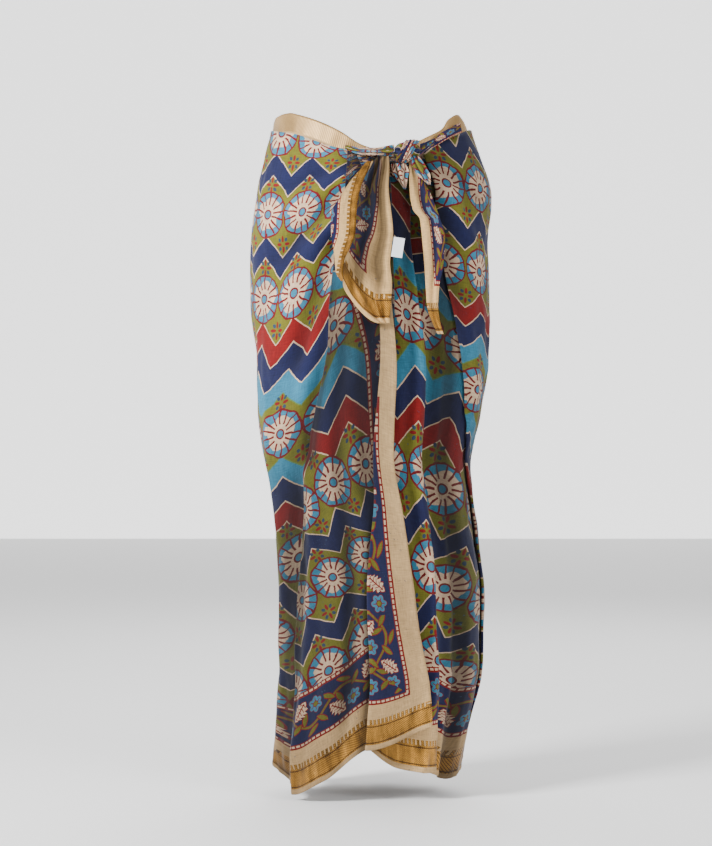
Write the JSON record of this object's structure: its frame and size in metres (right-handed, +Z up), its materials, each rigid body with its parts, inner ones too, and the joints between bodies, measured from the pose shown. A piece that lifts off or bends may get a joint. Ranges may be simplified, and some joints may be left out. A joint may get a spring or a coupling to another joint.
{
  "type": "sarong",
  "caption": "Ankle-length wrap sarong of thin printed cotton, wound once round the hips with the laps at the front and its top corners knotted over them as hanging tails.",
  "frame": {"origin": "middle of the waist opening, level with the folded waist edge at the left hip", "axes": "+Z up along the hollow from hem to waist; the front, with the knot, faces -Y; +X is to the right as the front is seen"},
  "size_m": [0.3603, 0.2766, 1.0015],
  "materials": {
    "printed_cotton": "matt thin cotton with a block print",
    "gold_border": "gold metal-thread twill border, soft sheen",
    "cream_cotton": "matt thin cream cotton, printed vine, gold-thread end",
    "label_satin": "smooth white woven label, blank"
  },
  "bodies": {
    "root": {"wrap_under": "printed_cotton", "wrap_back_right": "printed_cotton", "wrap_back_left": "printed_cotton", "wrap_over": "printed_cotton", "turned_border_left": "gold_border", "turned_border_right": "gold_border", "hip_band": "printed_cotton", "roll_left": "printed_cotton", "roll_right": "printed_cotton", "knot_core": "printed_cotton", "knot_band": "printed_cotton", "knot_lobe": "printed_cotton", "tail_left": "cream_cotton", "tail_left_flap": "cream_cotton", "tail_right": "cream_cotton", "label": "label_satin"}
  },
  "joints": []
}
